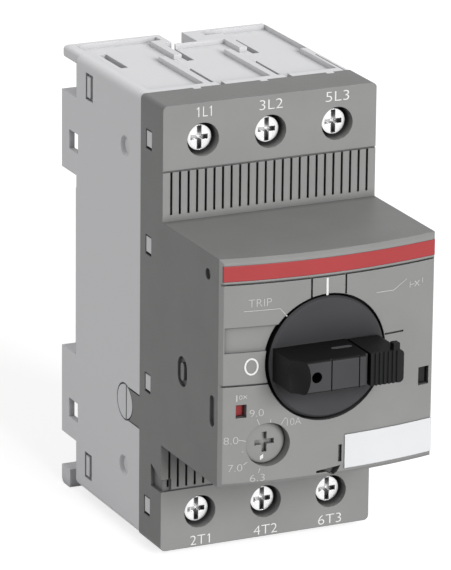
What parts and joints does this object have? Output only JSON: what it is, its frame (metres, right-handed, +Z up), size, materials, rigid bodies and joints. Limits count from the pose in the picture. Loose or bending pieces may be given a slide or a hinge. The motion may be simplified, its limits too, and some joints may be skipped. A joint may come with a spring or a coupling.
{
  "type": "manual motor starter",
  "caption": "Rail-mounted three-pole manual motor starter with rotary handle, current dial, test button, box-clamp terminals and working switching and release parts.",
  "frame": {"origin": "middle of the rear seat that bears on the mounting rail, level with the rail's middle", "axes": "+X to the right seen from the front, -Y out of the front, +Z up towards the line terminals"},
  "size_m": [0.045, 0.0873, 0.0911],
  "materials": {
    "base_grey": "moulded, light grey, fine spark texture",
    "cover_grey": "moulded, mid grey, fine spark texture",
    "stripe_red": "printed red inlay",
    "label_white": "smooth white writing field",
    "handle_black": "moulded, near black",
    "slide_black": "moulded, black",
    "button_black": "moulded, black",
    "flag_red": "moulded, red",
    "dial_grey": "moulded, mid grey",
    "screw_steel": "nickel plated",
    "clamp_steel": "zinc plated",
    "shaft_steel": "turned steel",
    "plate_steel": "stamped, zinc plated",
    "spring_steel": "drawn wire",
    "plunger_steel": "turned soft iron",
    "copper": "tinned copper bar",
    "winding_copper": "enamelled wire",
    "bimetal": "rolled strip",
    "heater_wrap": "glass-silk wrapped winding",
    "inner_black": "moulded thermoset"
  },
  "bodies": {
    "housing": {"base_housing": "base_grey", "front_cover": "cover_grey", "label_plate": "label_white", "red_stripe": "stripe_red", "mechanism_plate": "plate_steel", "line_bars": "copper", "load_contacts": "copper", "load_bars": "copper", "coil_windings": "winding_copper", "coil_bobbins": "inner_black", "magnet_yokes": "plate_steel", "arc_plates": "plate_steel", "bimetal_strips": "bimetal", "heater_windings": "heater_wrap", "bimetal_bracket": "inner_black", "opening_spring": "spring_steel", "latch_spring": "spring_steel"},
    "handle": {"handle_knob": "handle_black", "handle_shaft": "shaft_steel", "crank_disc": "shaft_steel", "retaining_ring": "shaft_steel"},
    "padlock_slide": {"lock_slide": "slide_black"},
    "carrier": {"contact_carrier": "inner_black", "contact_bridges": "copper", "contact_springs": "spring_steel"},
    "dial": {"setting_dial": "dial_grey"},
    "flag": {"trip_flag": "flag_red"},
    "test_key": {"test_button": "button_black"},
    "slider": {"trip_slider": "inner_black"},
    "latch": {"rail_latch": "base_grey"},
    "armature_1": {"plunger_1": "plunger_steel"},
    "armature_2": {"plunger_2": "plunger_steel"},
    "armature_3": {"plunger_3": "plunger_steel"},
    "screw_1": {"terminal_screw_1": "screw_steel"},
    "clamp_1": {"terminal_clamp_1": "clamp_steel"},
    "screw_2": {"terminal_screw_2": "screw_steel"},
    "clamp_2": {"terminal_clamp_2": "clamp_steel"},
    "screw_3": {"terminal_screw_3": "screw_steel"},
    "clamp_3": {"terminal_clamp_3": "clamp_steel"},
    "screw_4": {"terminal_screw_4": "screw_steel"},
    "clamp_4": {"terminal_clamp_4": "clamp_steel"},
    "screw_5": {"terminal_screw_5": "screw_steel"},
    "clamp_5": {"terminal_clamp_5": "clamp_steel"},
    "screw_6": {"terminal_screw_6": "screw_steel"},
    "clamp_6": {"terminal_clamp_6": "clamp_steel"}
  },
  "joints": [
    {"name": "handle_turn", "type": "hinge", "parent": "housing", "child": "handle", "pos_m": [-0.00135, -0.07, -0.00035], "axis": [0, 1, 0], "range_deg": [0, 90]},
    {"name": "carrier_slide", "type": "slide", "parent": "housing", "child": "carrier", "axis": [0, 0, 1], "range_m": [-0.0029, 0], "deforming": ["opening_spring"]},
    {"name": "padlock_pull", "type": "slide", "parent": "handle", "child": "padlock_slide", "axis": [1, 0, 0], "range_m": [0, 0.0045]},
    {"name": "dial_turn", "type": "hinge", "parent": "housing", "child": "dial", "pos_m": [-0.013, -0.0673, -0.01645], "axis": [0, 1, 0], "range_deg": [0, 195]},
    {"name": "flag_slide", "type": "slide", "parent": "housing", "child": "flag", "axis": [0, -1, 0], "range_m": [0, 0.0009]},
    {"name": "test_press", "type": "slide", "parent": "housing", "child": "test_key", "axis": [0, 1, 0], "range_m": [0, 0.0015], "stiffness_N_per_m": 200, "springref_m": -0.0005},
    {"name": "trip_slide", "type": "slide", "parent": "housing", "child": "slider", "axis": [-1, 0, 0], "range_m": [0, 0.0015]},
    {"name": "armature_rise_1", "type": "slide", "parent": "housing", "child": "armature_1", "axis": [0, 0, 1], "range_m": [0, 0.0024], "stiffness_N_per_m": 60, "springref_m": -0.0005},
    {"name": "armature_rise_2", "type": "slide", "parent": "housing", "child": "armature_2", "axis": [0, 0, 1], "range_m": [0, 0.0024], "stiffness_N_per_m": 60, "springref_m": -0.0005},
    {"name": "armature_rise_3", "type": "slide", "parent": "housing", "child": "armature_3", "axis": [0, 0, 1], "range_m": [0, 0.0024], "stiffness_N_per_m": 60, "springref_m": -0.0005},
    {"name": "latch_pull", "type": "slide", "parent": "housing", "child": "latch", "axis": [0, 0, -1], "range_m": [0, 0.0026], "stiffness_N_per_m": 400, "springref_m": -0.002, "deforming": ["latch_spring"]},
    {"name": "screw_turn_1", "type": "hinge", "parent": "housing", "child": "screw_1", "pos_m": [-0.01415, -0.0396, 0.03595], "axis": [0, 1, 0], "range_deg": [0, 2058]},
    {"name": "screw_turn_2", "type": "hinge", "parent": "housing", "child": "screw_2", "pos_m": [0, -0.0396, 0.03595], "axis": [0, 1, 0], "range_deg": [0, 2058]},
    {"name": "screw_turn_3", "type": "hinge", "parent": "housing", "child": "screw_3", "pos_m": [0.01415, -0.0396, 0.03595], "axis": [0, 1, 0], "range_deg": [0, 2058]},
    {"name": "screw_turn_4", "type": "hinge", "parent": "housing", "child": "screw_4", "pos_m": [-0.01415, -0.0396, -0.0391], "axis": [0, 1, 0], "range_deg": [0, 2058]},
    {"name": "screw_turn_5", "type": "hinge", "parent": "housing", "child": "screw_5", "pos_m": [0, -0.0396, -0.0391], "axis": [0, 1, 0], "range_deg": [0, 2058]},
    {"name": "screw_turn_6", "type": "hinge", "parent": "housing", "child": "screw_6", "pos_m": [0.01415, -0.0396, -0.0391], "axis": [0, 1, 0], "range_deg": [0, 2058]},
    {"name": "clamp_rise_1", "type": "slide", "parent": "housing", "child": "clamp_1", "axis": [0, -1, 0], "range_m": [0, 0.004]},
    {"name": "clamp_rise_2", "type": "slide", "parent": "housing", "child": "clamp_2", "axis": [0, -1, 0], "range_m": [0, 0.004]},
    {"name": "clamp_rise_3", "type": "slide", "parent": "housing", "child": "clamp_3", "axis": [0, -1, 0], "range_m": [0, 0.004]},
    {"name": "clamp_rise_4", "type": "slide", "parent": "housing", "child": "clamp_4", "axis": [0, -1, 0], "range_m": [0, 0.004]},
    {"name": "clamp_rise_5", "type": "slide", "parent": "housing", "child": "clamp_5", "axis": [0, -1, 0], "range_m": [0, 0.004]},
    {"name": "clamp_rise_6", "type": "slide", "parent": "housing", "child": "clamp_6", "axis": [0, -1, 0], "range_m": [0, 0.004]}
  ],
  "couplings": [
    {"joint": "handle_turn", "follows": "carrier_slide", "rad_per_m": -541.65},
    {"joint": "trip_slide", "follows": "test_press", "ratio": 1},
    {"joint": "screw_turn_1", "follows": "clamp_rise_1", "rad_per_m": 8976},
    {"joint": "screw_turn_2", "follows": "clamp_rise_2", "rad_per_m": 8976},
    {"joint": "screw_turn_3", "follows": "clamp_rise_3", "rad_per_m": 8976},
    {"joint": "screw_turn_4", "follows": "clamp_rise_4", "rad_per_m": 8976},
    {"joint": "screw_turn_5", "follows": "clamp_rise_5", "rad_per_m": 8976},
    {"joint": "screw_turn_6", "follows": "clamp_rise_6", "rad_per_m": 8976}
  ]
}
